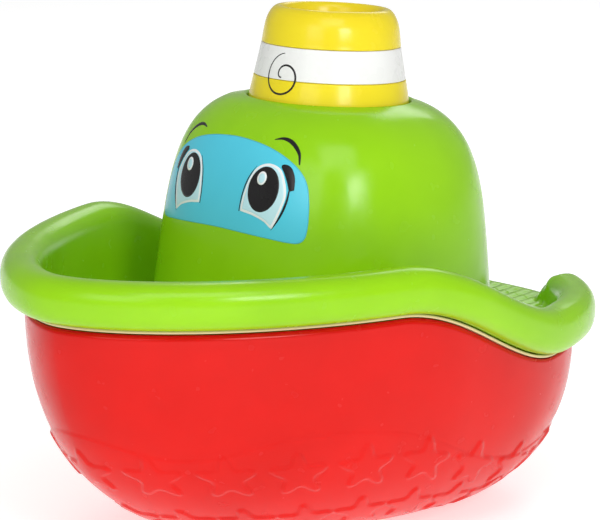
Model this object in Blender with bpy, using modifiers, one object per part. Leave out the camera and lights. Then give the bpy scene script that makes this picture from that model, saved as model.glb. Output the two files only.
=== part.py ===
"""Toy bath boat: bowl hull, one-piece deck with cabin, and a funnel that works a squirting pump.

Frame: +X to the bow, +Y to port, +Z up, origin under the middle of the boat on the floor.
Sizes are in millimetres in this file and are multiplied by MM where a mesh is made.
"""

import math

import bmesh
import bpy
import numpy as np
from mathutils import Matrix

MM = 0.001
GAP = 0.3                    # clearance between two pieces that touch

# Rim plan: two half superellipses that meet at the widest section.
COLUMNS = 48                 # stations round the rim, shared by hull, gasket and deck
BOW_X = 97.1
STERN_X = -96.2
WIDEST_X = -7.3
HALF_BEAM = 70.8
BOW_FULLNESS = 1.71
STERN_FULLNESS = 2.67

# Rim tube and its sheer line.
RIM_HALF_WIDTH = 6.3
RIM_TOP_BOW = 93.0
SHEER_DROP = 23.8
SHEER_DROP_START_X = 20.0
SHEER_DROP_END_X = -52.0
RIM_HEIGHT_BOW = 14.0
RIM_HEIGHT_STERN = 14.6
RIM_SQUARENESS = 0.85
RIM_UNDERSIDE_ANGLE = -110.0
SILL_DROP = 10.6             # the rim sinks to a low sill in the middle of the stern
SILL_UNDERSIDE_DROP = 2.0
SILL_HALF_WIDTH = 27.0
SILL_RAMP = 14.0

# Shells.
DECK_WALL = 2.0
HULL_WALL = 2.2
HULL_INSET = 0.75            # hull skin inside the rim's centre line
HULL_KEEL_X = -22.8          # the sections shrink towards this point
HULL_FLAT_SHARE = 0.22
HULL_BILGE_POWER = 2.39
HULL_SIDE_POWER = 2.26
GASKET_HEIGHT = 1.1
GASKET_PROUD = 0.5

# Well and decks.
WELL_FLOOR_Z = 51.0
AFT_DECK_Z = 58.2
DECK_STEP_START_X = -22.8
DECK_STEP_END_X = -64.8
WELL_DRAFT = 0.14
WELL_FILLET = 3.0
WELL_SQUARENESS = 3.5

# Cabin.
CABIN_X = -15.5
CABIN_HALF_LENGTH = 50.0
CABIN_HALF_WIDTH = 52.0
CABIN_FULLNESS = 2.4
CABIN_BASE_Z = 60.0
CABIN_TOP_Z = 133.1
CABIN_FRONT_DRAFT = 0.244
CABIN_AFT_DRAFT = 0.018
CABIN_SIDE_DRAFT = 0.144
CABIN_DRAFT_BLEND = 3.0
DOME_POWER = 5.3
DOME_ROUND = 3.74
DOME_SHARES = (0.12, 0.34, 0.55, 0.70, 0.80, 0.88, 0.945, 1.0)
ROOF_MARGIN = 3.0            # flat of the roof round the funnel's hole

# Pump axis: leans aft, passes through (PUMP_X, 0, 0).
PUMP_X = -11.1
PUMP_LEAN = math.radians(3.6)
ROOF_H = 131.0               # heights named _H are measured along the pump axis
TURN_STEPS = 28

# Funnel.
FUNNEL_SKIRT_R = 25.0
FUNNEL_LIP_R = 20.0
FUNNEL_TOP_H = 159.0
FUNNEL_CONE_TOP_H = 156.5
FUNNEL_SKIRT_DEPTH = 9.7
FUNNEL_WALL = 2.4
FUNNEL_CLEARANCE = 0.5
DISH_R = 16.6
DISH_DEPTH = 8.0
DISH_FLOOR = 2.0
BAND_BOTTOM_H = 137.4
BAND_TOP_H = 147.6
BAND_DEPTH = 1.2
COLLAR_LENGTH = 26.0

# Pump.
BARREL_R = 11.0
BARREL_WALL = 2.0
INTAKE_R = 8.0
SPIGOT_TOP_H = 16.0
WEB_HEIGHT = 1.8
CAP_HEIGHT = 4.0
FLANGE_R = 22.0
FLANGE_HEIGHT = 3.0
STEM_R = 4.0
STEM_BORE_R = 2.0
STEM_TOP_H = 144.0
STEM_SHOULDER_R = 6.5
STEM_SHOULDER_HEIGHT = 4.0
PISTON_BOTTOM_H = 34.0
PISTON_HEIGHT = 8.0
SEAL_THICKNESS_R = 0.9
OUTLET_BALL_R = 2.6
INLET_BALL_R = 3.2
VALVE_LIFT = 2.0
SPRING_R = 9.2
SPRING_WIRE_R = 0.7
SPRING_TURNS = 7
SPRING_POINTS_PER_TURN = 12
SCREW_CIRCLE_R = 18.0
SCREW_R = 1.4
SCREW_HEAD_R = 2.8
SCREW_HEAD_HEIGHT = 1.8
SCREW_COUNT = 3
STRAINER_HOLE_R = 1.2
BALLAST_INNER_R = 17.5
BALLAST_OUTER_R = 26.0
BALLAST_HEIGHT = 6.0
BALLAST_BOTTOM_H = 4.8

for old in list(bpy.data.objects):
    bpy.data.objects.remove(old)

boat = bpy.data.collections.new("toy_boat")
cutters = bpy.data.collections.new("cutters")
bpy.context.scene.collection.children.link(boat)
bpy.context.scene.collection.children.link(cutters)


# ---------------------------------------------------------------- materials
def plastic(name, colour, roughness=0.25, metallic=0.0):
    """Principled material of one piece."""
    material = bpy.data.materials.new(name)
    material.use_nodes = True
    shader = material.node_tree.nodes["Principled BSDF"]
    shader.inputs["Base Color"].default_value = (*colour, 1.0)
    shader.inputs["Roughness"].default_value = roughness
    shader.inputs["Metallic"].default_value = metallic
    return material


RED = (0.72, 0.03, 0.015)
GREEN = (0.33, 0.62, 0.01)
YELLOW = (0.90, 0.74, 0.04)
WHITE = (0.88, 0.88, 0.86)
CREAM = (0.85, 0.72, 0.42)
CLEAR_GREY = (0.70, 0.72, 0.72)
DARK_RUBBER = (0.03, 0.03, 0.035)
STEEL = (0.62, 0.62, 0.60)


# ---------------------------------------------------------------- mesh helpers
def object_from_mesh(name, mesh, colour, roughness=0.25, metallic=0.0):
    """Put a finished mesh in the boat's collection with its own material."""
    obj = bpy.data.objects.new(name, mesh)
    boat.objects.link(obj)
    mesh.materials.append(plastic(name + "_material", colour, roughness, metallic))
    mesh.shade_smooth()
    mesh.set_sharp_from_angle(angle=math.radians(40.0))
    return obj


def ring_surface(name, rows, closed_section=False):
    """Mesh of rows (row, station, xyz in mm); stations close on themselves."""
    count, stations, _ = rows.shape
    mesh = bpy.data.meshes.new(name)
    first = np.arange(count if closed_section else count - 1)[:, None] * stations
    station = np.arange(stations)[None, :]
    after = (station + 1) % stations
    above = (first + stations) % (count * stations)
    quads = np.stack([first + station, first + after, above + after, above + station], axis=-1)
    mesh.from_pydata((rows.reshape(-1, 3) * MM).tolist(), [], quads.reshape(-1, 4).tolist())
    mesh.validate()
    return mesh


def add_wall(obj, wall):
    """Thickness on the side away from the visible face."""
    solid = obj.modifiers.new("wall", "SOLIDIFY")
    solid.thickness = wall * MM
    solid.offset = -1.0
    solid.use_even_offset = True
    return obj


def smooth_step(value):
    """0 below 0, 1 above 1, an S-curve between."""
    limited = np.clip(value, 0.0, 1.0)
    return limited * limited * (3.0 - 2.0 * limited)


def signed_power(value, power):
    return np.sign(value) * np.abs(value) ** power


# ---------------------------------------------------------------- rim line
def rim_plan(angle):
    """Centre line of the rim in plan for an array of angles."""
    fullness = np.where(np.cos(angle) > 0.0, BOW_FULLNESS, STERN_FULLNESS)
    reach = np.where(np.cos(angle) > 0.0, BOW_X - WIDEST_X, WIDEST_X - STERN_X)
    x = WIDEST_X + reach * signed_power(np.cos(angle), 2.0 / fullness)
    y = HALF_BEAM * signed_power(np.sin(angle), 2.0 / fullness)
    return x, y


def rim_stations(count):
    """Angles of stations that are evenly spaced along the rim, half a step off the bow."""
    angle = np.linspace(-math.pi, math.pi, 4001)
    x, y = rim_plan(angle)
    length = np.concatenate([[0.0], np.cumsum(np.hypot(np.diff(x), np.diff(y)))])
    places = (np.arange(count) + 0.5) * length[-1] / count
    return np.interp(places, length, angle)


ANGLE = rim_stations(COLUMNS)
RIM_X, RIM_Y = rim_plan(ANGLE)
AHEAD_X, AHEAD_Y = rim_plan(ANGLE + 1e-4)
BEHIND_X, BEHIND_Y = rim_plan(ANGLE - 1e-4)
TANGENT = np.hypot(AHEAD_X - BEHIND_X, AHEAD_Y - BEHIND_Y)
OUT_X = (AHEAD_Y - BEHIND_Y) / TANGENT
OUT_Y = -(AHEAD_X - BEHIND_X) / TANGENT

SHEER = smooth_step((SHEER_DROP_START_X - RIM_X) / (SHEER_DROP_START_X - SHEER_DROP_END_X))
AT_STERN = (RIM_X < WIDEST_X).astype(float)
SILL = AT_STERN * smooth_step((SILL_HALF_WIDTH + SILL_RAMP - np.abs(RIM_Y)) / SILL_RAMP)
RIM_TOP = RIM_TOP_BOW - SHEER_DROP * SHEER - SILL_DROP * SILL
RIM_HEIGHT = RIM_HEIGHT_BOW + (RIM_HEIGHT_STERN - RIM_HEIGHT_BOW) * SHEER
RIM_BOTTOM = RIM_TOP_BOW - SHEER_DROP * SHEER - RIM_HEIGHT - SILL_UNDERSIDE_DROP * SILL


def beside_rim(offset, height):
    """Points a given distance outside the rim's centre line, at a given height."""
    x = RIM_X + offset * OUT_X
    y = RIM_Y + offset * OUT_Y
    return np.stack([x, y, height + 0.0 * x], axis=-1)


def pump_point(radius, height, angle):
    """Points on a circle round the leaning pump axis."""
    x = PUMP_X + radius * np.cos(angle) * math.cos(PUMP_LEAN) - height * math.sin(PUMP_LEAN)
    y = radius * np.sin(angle)
    z = radius * np.cos(angle) * math.sin(PUMP_LEAN) + height * math.cos(PUMP_LEAN)
    return np.stack([x, y, z], axis=-1)


# ---------------------------------------------------------------- hull
HULL_TOP = RIM_BOTTOM - GAP - GASKET_HEIGHT - GAP


def hull_section(share):
    """One level of the hull skin, share 0 at the flat keel and 1 at its top edge."""
    height = HULL_TOP * share
    full = 1.0 - (1.0 - height / RIM_BOTTOM) ** HULL_BILGE_POWER
    scale = HULL_FLAT_SHARE + (1.0 - HULL_FLAT_SHARE) * full ** (1.0 / HULL_SIDE_POWER)
    skin = beside_rim(-HULL_INSET, height)
    skin[:, 0] = HULL_KEEL_X + (skin[:, 0] - HULL_KEEL_X) * scale
    skin[:, 1] = skin[:, 1] * scale
    return skin


def build_hull():
    levels = (0.0, 0.004, 0.018, 0.045, 0.085, 0.14, 0.21, 0.30, 0.41, 0.54, 0.68, 0.84, 1.0)
    mouth = pump_point(INTAKE_R, 0.0, ANGLE)
    mouth[:, 2] = 0.0
    rows = [pump_point(INTAKE_R, SPIGOT_TOP_H, ANGLE), mouth]
    rows += [hull_section(share) for share in levels]
    hull = object_from_mesh("hull", ring_surface("hull", np.array(rows)), RED)
    add_wall(hull, HULL_WALL)


# ---------------------------------------------------------------- gasket
def build_rim_gasket():
    outer = GASKET_PROUD - HULL_INSET
    inner = -HULL_INSET - HULL_WALL
    top = RIM_BOTTOM - GAP
    bottom = top - GASKET_HEIGHT
    rows = [
        beside_rim(inner, bottom),
        beside_rim(outer, bottom),
        beside_rim(outer, top),
        beside_rim(inner, top),
    ]
    mesh = ring_surface("rim_gasket", np.array(rows), closed_section=True)
    object_from_mesh("rim_gasket", mesh, CREAM, 0.5)


# ---------------------------------------------------------------- deck
def deck_floor(x):
    """Deep well forward, higher deck aft, joined by a slope beside the cabin."""
    step = smooth_step((DECK_STEP_START_X - x) / (DECK_STEP_START_X - DECK_STEP_END_X))
    return WELL_FLOOR_Z + (AFT_DECK_Z - WELL_FLOOR_Z) * step


def rim_tube(degrees):
    """One line along the rim tube; 0 faces outboard, 90 is the crest, 180 faces the well."""
    turn = math.radians(degrees)
    middle = 0.5 * (RIM_TOP + RIM_BOTTOM)
    half_height = 0.5 * (RIM_TOP - RIM_BOTTOM)
    offset = RIM_HALF_WIDTH * float(signed_power(math.cos(turn), RIM_SQUARENESS))
    height = middle + half_height * float(signed_power(math.sin(turn), RIM_SQUARENESS))
    if degrees > 90.0:
        height = np.maximum(height, deck_floor(RIM_X) + 0.2)
    return beside_rim(offset, height)


def well_wall(turn):
    """Inner wall of the well: drops from the rim tube and rounds into the floor."""
    start = rim_tube(180.0)[:, 2]
    floor = deck_floor(RIM_X)
    drop = np.maximum(start - floor, 0.0)
    reach = WELL_FILLET + WELL_DRAFT * drop
    power = 2.0 / WELL_SQUARENESS
    offset = -RIM_HALF_WIDTH - reach * (1.0 - math.cos(turn) ** power)
    height = floor + drop * (1.0 - math.sin(turn) ** power)
    return beside_rim(offset, height)


def dome_shrink(level):
    """Share of the full section that is left at a level of the dome."""
    return (1.0 - max(level, 0.0) ** DOME_POWER) ** (1.0 / DOME_ROUND)


def roof_level(half_length):
    """Level where the cabin's mean half length has shrunk to a given size, by halving."""
    low = 0.6
    high = 1.0
    for _ in range(40):
        level = 0.5 * (low + high)
        mean_draft = 1.0 - 0.5 * (CABIN_FRONT_DRAFT + CABIN_AFT_DRAFT) * level
        if CABIN_HALF_LENGTH * mean_draft * dome_shrink(level) > half_length:
            low = level
        else:
            high = level
    return low


def cabin_section(level):
    """One level of the cabin, 0 at its base plane and 1 at the top of the dome."""
    ahead = 0.5 * (1.0 + np.tanh(CABIN_DRAFT_BLEND * np.cos(ANGLE)))
    draft = 1.0 - (CABIN_AFT_DRAFT + (CABIN_FRONT_DRAFT - CABIN_AFT_DRAFT) * ahead) * level
    side_draft = 1.0 - CABIN_SIDE_DRAFT * level
    dome = dome_shrink(level)
    power = 2.0 / CABIN_FULLNESS
    x = CABIN_HALF_LENGTH * draft * dome * signed_power(np.cos(ANGLE), power)
    y = CABIN_HALF_WIDTH * side_draft * dome * signed_power(np.sin(ANGLE), power)
    rake = float(smooth_step(level)) * math.tan(PUMP_LEAN)
    z = CABIN_BASE_Z + (CABIN_TOP_Z - CABIN_BASE_Z) * level + rake * x
    return np.stack([CABIN_X + x, y, z], axis=-1)


def build_deck():
    rows = [rim_tube(degrees) for degrees in (RIM_UNDERSIDE_ANGLE, -90, -62, -30, 0, 32, 62, 90, 118, 148, 180)]
    rows += [well_wall(math.radians(degrees)) for degrees in (20, 42, 62, 78, 90)]
    foot = cabin_section((WELL_FLOOR_Z - CABIN_BASE_Z) / (CABIN_TOP_Z - CABIN_BASE_Z))
    foot[:, 2] = deck_floor(foot[:, 0])
    edge = rows[-1]
    for share in (0.35, 0.7, 1.0):
        line = edge + (foot - edge) * share
        line[:, 2] = deck_floor(line[:, 0])
        rows.append(line)
    hole = FUNNEL_SKIRT_R + FUNNEL_CLEARANCE
    last = roof_level(hole + ROOF_MARGIN)
    rows += [cabin_section(share * last) for share in DOME_SHARES]
    rows.append(pump_point(hole + 1.2, ROOF_H + 0.1, ANGLE))
    rows.append(pump_point(hole + 0.35, ROOF_H - 0.25, ANGLE))
    rows.append(pump_point(hole, ROOF_H - 1.1, ANGLE))
    rows.append(pump_point(hole, ROOF_H - COLLAR_LENGTH, ANGLE))
    deck = object_from_mesh("deck", ring_surface("deck", np.array(rows)), GREEN)
    add_wall(deck, DECK_WALL)


# ---------------------------------------------------------------- turned pieces
pump_axis = bpy.data.objects.new("pump_axis", None)
pump_axis.location = (PUMP_X * MM, 0.0, 0.0)
pump_axis.rotation_euler = (0.0, -PUMP_LEAN, 0.0)
boat.objects.link(pump_axis)


def turned(name, profile, colour, roughness=0.3, metallic=0.0, steps=TURN_STEPS):
    """Turn a profile (radius, height) in mm; a profile off the axis is a closed loop."""
    on_axis = profile[0][0] == 0.0
    mesh = bpy.data.meshes.new(name)
    points = [(radius * MM, 0.0, height * MM) for radius, height in profile]
    edges = [(index, index + 1) for index in range(len(points) - 1)]
    if not on_axis:
        edges.append((len(points) - 1, 0))
    mesh.from_pydata(points, edges, [])
    obj = object_from_mesh(name, mesh, colour, roughness, metallic)
    screw = obj.modifiers.new("turn", "SCREW")
    screw.axis = "Z"
    screw.steps = steps
    screw.render_steps = steps
    screw.use_merge_vertices = True
    screw.merge_threshold = 0.00001
    obj.parent = pump_axis
    return obj


def ring_of(name, radius, thickness, height, colour):
    """O-ring: a torus primitive on the pump axis."""
    bpy.ops.mesh.primitive_torus_add(
        major_segments=TURN_STEPS,
        minor_segments=8,
        major_radius=radius * MM,
        minor_radius=thickness * MM,
    )
    obj = bpy.context.active_object
    mesh = obj.data
    bpy.data.objects.remove(obj)
    ring = object_from_mesh(name, mesh, colour, 0.6)
    ring.location = (0.0, 0.0, height * MM)
    ring.parent = pump_axis


def ball(name, radius, height, colour):
    """Valve ball on the pump axis."""
    mesh = bpy.data.meshes.new(name)
    shape = bmesh.new()
    bmesh.ops.create_uvsphere(shape, u_segments=14, v_segments=9, radius=radius * MM)
    shape.to_mesh(mesh)
    shape.free()
    obj = object_from_mesh(name, mesh, colour, 0.2)
    obj.location = (0.0, 0.0, height * MM)
    obj.parent = pump_axis


def cutter(name, radius, low, high, x=0.0, y=0.0):
    """Cylinder along the pump axis that cuts another piece."""
    mesh = bpy.data.meshes.new(name)
    shape = bmesh.new()
    bmesh.ops.create_cone(
        shape,
        cap_ends=True,
        segments=12,
        radius1=radius * MM,
        radius2=radius * MM,
        depth=(high - low) * MM,
        matrix=Matrix.Translation((x * MM, y * MM, 0.5 * (low + high) * MM)),
    )
    shape.to_mesh(mesh)
    shape.free()
    obj = bpy.data.objects.new(name, mesh)
    obj.hide_render = True
    obj.display_type = "WIRE"
    obj.parent = pump_axis
    cutters.objects.link(obj)
    return obj


def cut(obj, tool):
    hole = obj.modifiers.new(tool.name, "BOOLEAN")
    hole.operation = "DIFFERENCE"
    hole.object = tool


def screw_places():
    """Centres of the cap screws."""
    turns = [2.0 * math.pi * index / SCREW_COUNT for index in range(SCREW_COUNT)]
    return [(SCREW_CIRCLE_R * math.cos(turn), SCREW_CIRCLE_R * math.sin(turn)) for turn in turns]


# ---------------------------------------------------------------- funnel
def funnel_radius(height):
    """Outer radius of the cone."""
    share = (height - ROOF_H) / (FUNNEL_CONE_TOP_H - ROOF_H)
    return FUNNEL_SKIRT_R + (FUNNEL_LIP_R - FUNNEL_SKIRT_R) * share


CAP_BOTTOM_H = ROOF_H - COLLAR_LENGTH + 1.0
CAP_TOP_H = CAP_BOTTOM_H + CAP_HEIGHT
SKIRT_BOTTOM_H = ROOF_H - FUNNEL_SKIRT_DEPTH
DISH_FLOOR_H = FUNNEL_TOP_H - DISH_DEPTH
DISH_UNDER_H = DISH_FLOOR_H - DISH_FLOOR
BOSS_R = STEM_R + GAP
BOSS_BOTTOM_H = STEM_TOP_H - 8.0
BOSS_WALL = 2.0


def build_funnel():
    under_band = funnel_radius(BAND_BOTTOM_H)
    over_band = funnel_radius(BAND_TOP_H)
    inner_top = funnel_radius(DISH_UNDER_H) - FUNNEL_WALL
    profile = [
        (DISH_R + 1.4, FUNNEL_TOP_H),
        (FUNNEL_LIP_R - 0.7, FUNNEL_TOP_H - 0.7),
        (FUNNEL_LIP_R, FUNNEL_CONE_TOP_H),
        (over_band, BAND_TOP_H),
        (over_band - BAND_DEPTH, BAND_TOP_H),
        (under_band - BAND_DEPTH, BAND_BOTTOM_H),
        (under_band, BAND_BOTTOM_H),
        (FUNNEL_SKIRT_R, ROOF_H),
        (FUNNEL_SKIRT_R, SKIRT_BOTTOM_H),
        (FUNNEL_SKIRT_R - FUNNEL_WALL, SKIRT_BOTTOM_H),
        (FUNNEL_SKIRT_R - FUNNEL_WALL, ROOF_H),
        (inner_top, DISH_UNDER_H),
        (BOSS_R + BOSS_WALL, DISH_UNDER_H),
        (BOSS_R + BOSS_WALL, BOSS_BOTTOM_H),
        (BOSS_R, BOSS_BOTTOM_H),
        (BOSS_R, DISH_FLOOR_H),
        (DISH_R - 4.0, DISH_FLOOR_H),
        (DISH_R - 1.5, DISH_FLOOR_H + 1.6),
        (DISH_R - 0.6, FUNNEL_TOP_H - 2.2),
        (DISH_R + 0.3, FUNNEL_TOP_H - 0.7),
    ]
    turned("funnel", profile, YELLOW)


def build_funnel_band():
    low = BAND_BOTTOM_H + GAP
    high = BAND_TOP_H - GAP
    depth = BAND_DEPTH - GAP
    profile = [
        (funnel_radius(high), high),
        (funnel_radius(low), low),
        (funnel_radius(low) - depth, low),
        (funnel_radius(high) - depth, high),
    ]
    turned("funnel_band", profile, WHITE)


def build_nozzle():
    low = STEM_TOP_H + 5.4
    profile = [
        (1.0, DISH_FLOOR_H + 2.6),
        (2.0, DISH_FLOOR_H + 2.6),
        (3.0, DISH_FLOOR_H + 1.4),
        (BOSS_R + 1.6, DISH_FLOOR_H + 1.2),
        (BOSS_R + 1.6, DISH_FLOOR_H + GAP),
        (STEM_R, DISH_FLOOR_H + GAP),
        (STEM_R, low),
        (3.0, low),
        (1.0, DISH_FLOOR_H),
    ]
    turned("nozzle", profile, WHITE, steps=20)


# ---------------------------------------------------------------- pump
def build_pump_stem():
    shoulder_top = CAP_BOTTOM_H - GAP
    shoulder_bottom = shoulder_top - STEM_SHOULDER_HEIGHT
    bottom = PISTON_BOTTOM_H
    profile = [
        (STEM_R - 0.8, STEM_TOP_H),
        (STEM_R, STEM_TOP_H - 0.8),
        (STEM_R, shoulder_top),
        (STEM_SHOULDER_R, shoulder_top),
        (STEM_SHOULDER_R, shoulder_bottom),
        (STEM_R, shoulder_bottom),
        (STEM_R, bottom),
        (STEM_BORE_R, bottom),
        (STEM_BORE_R, STEM_TOP_H - 1.5),
        (STEM_BORE_R + 1.0, STEM_TOP_H),
    ]
    turned("pump_stem", profile, CLEAR_GREY, steps=20)


def build_piston():
    bore = STEM_R + GAP
    outer = BARREL_R - GAP
    low = PISTON_BOTTOM_H
    high = low + PISTON_HEIGHT
    middle = 0.5 * (low + high)
    groove = SEAL_THICKNESS_R + GAP
    root = outer - 2.0 * SEAL_THICKNESS_R
    profile = [
        (outer, high),
        (outer, middle + groove),
        (root, middle + groove),
        (root, middle - groove),
        (outer, middle - groove),
        (outer, low),
        (bore, low),
        (bore, high),
    ]
    turned("piston", profile, WHITE, steps=24)
    ring_of("piston_seal", root + GAP + SEAL_THICKNESS_R, SEAL_THICKNESS_R, middle, DARK_RUBBER)


def build_return_spring():
    low = CAP_TOP_H + GAP + SPRING_WIRE_R
    high = DISH_UNDER_H - GAP - SPRING_WIRE_R
    count = SPRING_TURNS * SPRING_POINTS_PER_TURN + 1
    curve = bpy.data.curves.new("return_spring", "CURVE")
    curve.dimensions = "3D"
    curve.bevel_depth = SPRING_WIRE_R * MM
    curve.bevel_resolution = 1
    curve.use_fill_caps = True
    spline = curve.splines.new("POLY")
    spline.points.add(count - 1)
    for index in range(count):
        turn = 2.0 * math.pi * index / SPRING_POINTS_PER_TURN
        share = index / (count - 1)
        height = low + (high - low) * share
        spline.points[index].co = (
            SPRING_R * MM * math.cos(turn),
            SPRING_R * MM * math.sin(turn),
            height * MM,
            1.0,
        )
    spring = bpy.data.objects.new("return_spring", curve)
    spring.parent = pump_axis
    curve.materials.append(plastic("return_spring_material", STEEL, 0.3, 1.0))
    boat.objects.link(spring)


def build_pump_cylinder():
    outer = BARREL_R + BARREL_WALL
    web_low = SPIGOT_TOP_H + GAP + 0.3
    web_high = web_low + WEB_HEIGHT
    socket_r = INTAKE_R + HULL_WALL + 2.0 * SEAL_THICKNESS_R + 2.0 * GAP
    socket_outer = socket_r + BARREL_WALL
    floor = HULL_WALL + GAP + socket_outer * math.tan(PUMP_LEAN)
    clamp_low = BALLAST_BOTTOM_H + BALLAST_HEIGHT + GAP
    clamp_high = clamp_low + BARREL_WALL
    clamp_r = BALLAST_INNER_R + 3.0
    top = CAP_BOTTOM_H - GAP
    profile = [
        (BARREL_R, top),
        (FLANGE_R, top),
        (FLANGE_R, top - FLANGE_HEIGHT),
        (outer, top - FLANGE_HEIGHT),
        (outer, web_high),
        (socket_outer, web_high - 2.0),
        (socket_outer, clamp_high),
        (clamp_r, clamp_high),
        (clamp_r, clamp_low),
        (socket_outer, clamp_low),
        (socket_outer, floor),
        (socket_r, floor),
        (socket_r, web_low),
        (STEM_BORE_R, web_low),
        (STEM_BORE_R, web_high),
        (BARREL_R, web_high),
    ]
    barrel = turned("pump_cylinder", profile, CLEAR_GREY)
    for index, (x, y) in enumerate(screw_places()):
        tool = cutter("flange_hole_%d" % (index + 1), SCREW_R + GAP, top - FLANGE_HEIGHT - 1.0, top + 1.0, x, y)
        cut(barrel, tool)


def build_cylinder_cap():
    outer = FUNNEL_SKIRT_R + FUNNEL_CLEARANCE - GAP
    bore = STEM_R + GAP
    profile = [
        (outer, CAP_TOP_H),
        (outer, CAP_BOTTOM_H),
        (bore, CAP_BOTTOM_H),
        (bore, CAP_TOP_H),
    ]
    cap = turned("cylinder_cap", profile, CLEAR_GREY)
    head_seat = CAP_TOP_H - SCREW_HEAD_HEIGHT - GAP
    for index, (x, y) in enumerate(screw_places()):
        number = index + 1
        cut(cap, cutter("cap_hole_%d" % number, SCREW_R + GAP, CAP_BOTTOM_H - 1.0, CAP_TOP_H, x, y))
        cut(cap, cutter("cap_seat_%d" % number, SCREW_HEAD_R + GAP, head_seat, CAP_TOP_H + 1.0, x, y))


def build_cap_screws():
    head_low = CAP_TOP_H - SCREW_HEAD_HEIGHT
    tip = CAP_BOTTOM_H - GAP - FLANGE_HEIGHT - 1.5
    for index, (x, y) in enumerate(screw_places()):
        name = "cap_screw_%d" % (index + 1)
        profile = [
            (0.0, CAP_TOP_H - 0.9),
            (1.2, CAP_TOP_H - 0.9),
            (1.2, CAP_TOP_H),
            (SCREW_HEAD_R - 0.4, CAP_TOP_H),
            (SCREW_HEAD_R, CAP_TOP_H - 0.5),
            (SCREW_HEAD_R, head_low),
            (SCREW_R, head_low),
            (SCREW_R, tip + 1.2),
            (0.0, tip),
        ]
        screw = turned(name, profile, STEEL, 0.35, 1.0, steps=12)
        screw.location = (x * MM, y * MM, 0.0)


INLET_SEAT_H = 8.6


def build_intake():
    bore_fit = INTAKE_R - GAP
    seat_r = 2.3
    profile = [
        (seat_r + 1.6, INLET_SEAT_H + 1.6),
        (bore_fit, INLET_SEAT_H + 1.6),
        (bore_fit, 3.2),
        (seat_r, 3.2),
        (seat_r, INLET_SEAT_H),
    ]
    turned("foot_valve", profile, WHITE, steps=24)
    reach = math.sqrt((INLET_BALL_R + GAP) ** 2 - seat_r ** 2)
    ball("inlet_ball", INLET_BALL_R, INLET_SEAT_H + reach, WHITE)
    seal_r = INTAKE_R + HULL_WALL + GAP + SEAL_THICKNESS_R
    ring_of("intake_seal", seal_r, SEAL_THICKNESS_R, 8.0, DARK_RUBBER)
    plate = [
        (0.0, 2.7),
        (bore_fit, 2.7),
        (bore_fit, 1.2),
        (0.0, 1.2),
    ]
    strainer = turned("intake_strainer", plate, DARK_RUBBER, 0.5, steps=24)
    cut(strainer, cutter("strainer_hole_0", STRAINER_HOLE_R, 0.0, 4.0))
    for index in range(6):
        turn = math.radians(60.0 * index)
        x = 4.6 * math.cos(turn)
        y = 4.6 * math.sin(turn)
        cut(strainer, cutter("strainer_hole_%d" % (index + 1), STRAINER_HOLE_R, 0.0, 4.0, x, y))


def build_outlet_ball():
    seat = STEM_TOP_H - 1.5
    reach = math.sqrt((OUTLET_BALL_R + GAP) ** 2 - STEM_BORE_R ** 2)
    ball("outlet_ball", OUTLET_BALL_R, seat + reach, WHITE)


def build_ballast():
    low = BALLAST_BOTTOM_H
    high = low + BALLAST_HEIGHT
    profile = [
        (BALLAST_OUTER_R - 1.0, high),
        (BALLAST_OUTER_R, high - 1.0),
        (BALLAST_OUTER_R, low + 1.5),
        (BALLAST_OUTER_R - 1.5, low),
        (BALLAST_INNER_R, low),
        (BALLAST_INNER_R, high),
    ]
    turned("ballast", profile, STEEL, 0.5, 1.0)


build_hull()
build_rim_gasket()
build_deck()
build_funnel()
build_funnel_band()
build_nozzle()
build_outlet_ball()
build_pump_stem()
build_piston()
build_return_spring()
build_pump_cylinder()
build_cylinder_cap()
build_cap_screws()
build_intake()
build_ballast()
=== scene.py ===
# %% [markdown]
# # A toy bath boat
# The boat is a red bowl hull, a lime green deck moulded in one piece with its cabin, and a yellow
# funnel on top that is pressed down to squirt water. This lesson dresses a finished solid model of
# it: each visible part gets a fine surface, worked out as a formula on a grid, and a plastic or
# rubber finish made of nodes. The solid model is the frame. Nothing in it is moved.

import math

import bmesh
import bpy
import numpy as np
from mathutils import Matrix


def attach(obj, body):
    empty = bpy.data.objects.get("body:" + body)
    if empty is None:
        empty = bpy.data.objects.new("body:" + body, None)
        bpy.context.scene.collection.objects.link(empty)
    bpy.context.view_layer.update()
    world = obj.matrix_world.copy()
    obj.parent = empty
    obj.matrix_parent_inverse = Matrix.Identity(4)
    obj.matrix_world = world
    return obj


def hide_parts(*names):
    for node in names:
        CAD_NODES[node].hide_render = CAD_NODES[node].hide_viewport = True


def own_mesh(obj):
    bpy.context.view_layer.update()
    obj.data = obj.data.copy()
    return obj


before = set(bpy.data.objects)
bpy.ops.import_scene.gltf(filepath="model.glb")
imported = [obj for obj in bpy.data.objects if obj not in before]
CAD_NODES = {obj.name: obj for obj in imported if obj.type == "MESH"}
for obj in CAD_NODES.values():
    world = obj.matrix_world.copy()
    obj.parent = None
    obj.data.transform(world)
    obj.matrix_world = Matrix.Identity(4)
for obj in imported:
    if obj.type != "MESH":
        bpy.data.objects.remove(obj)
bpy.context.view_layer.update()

# %% [markdown]
# ## Shared sizes
# The fine surfaces repeat the boat's own sizes, so they land exactly on the solids. Sizes are in
# millimetres here because a toy is thought of in millimetres, and they turn into metres once, where
# a mesh is made. +X is the bow, +Y is port and +Z is up.

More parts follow.
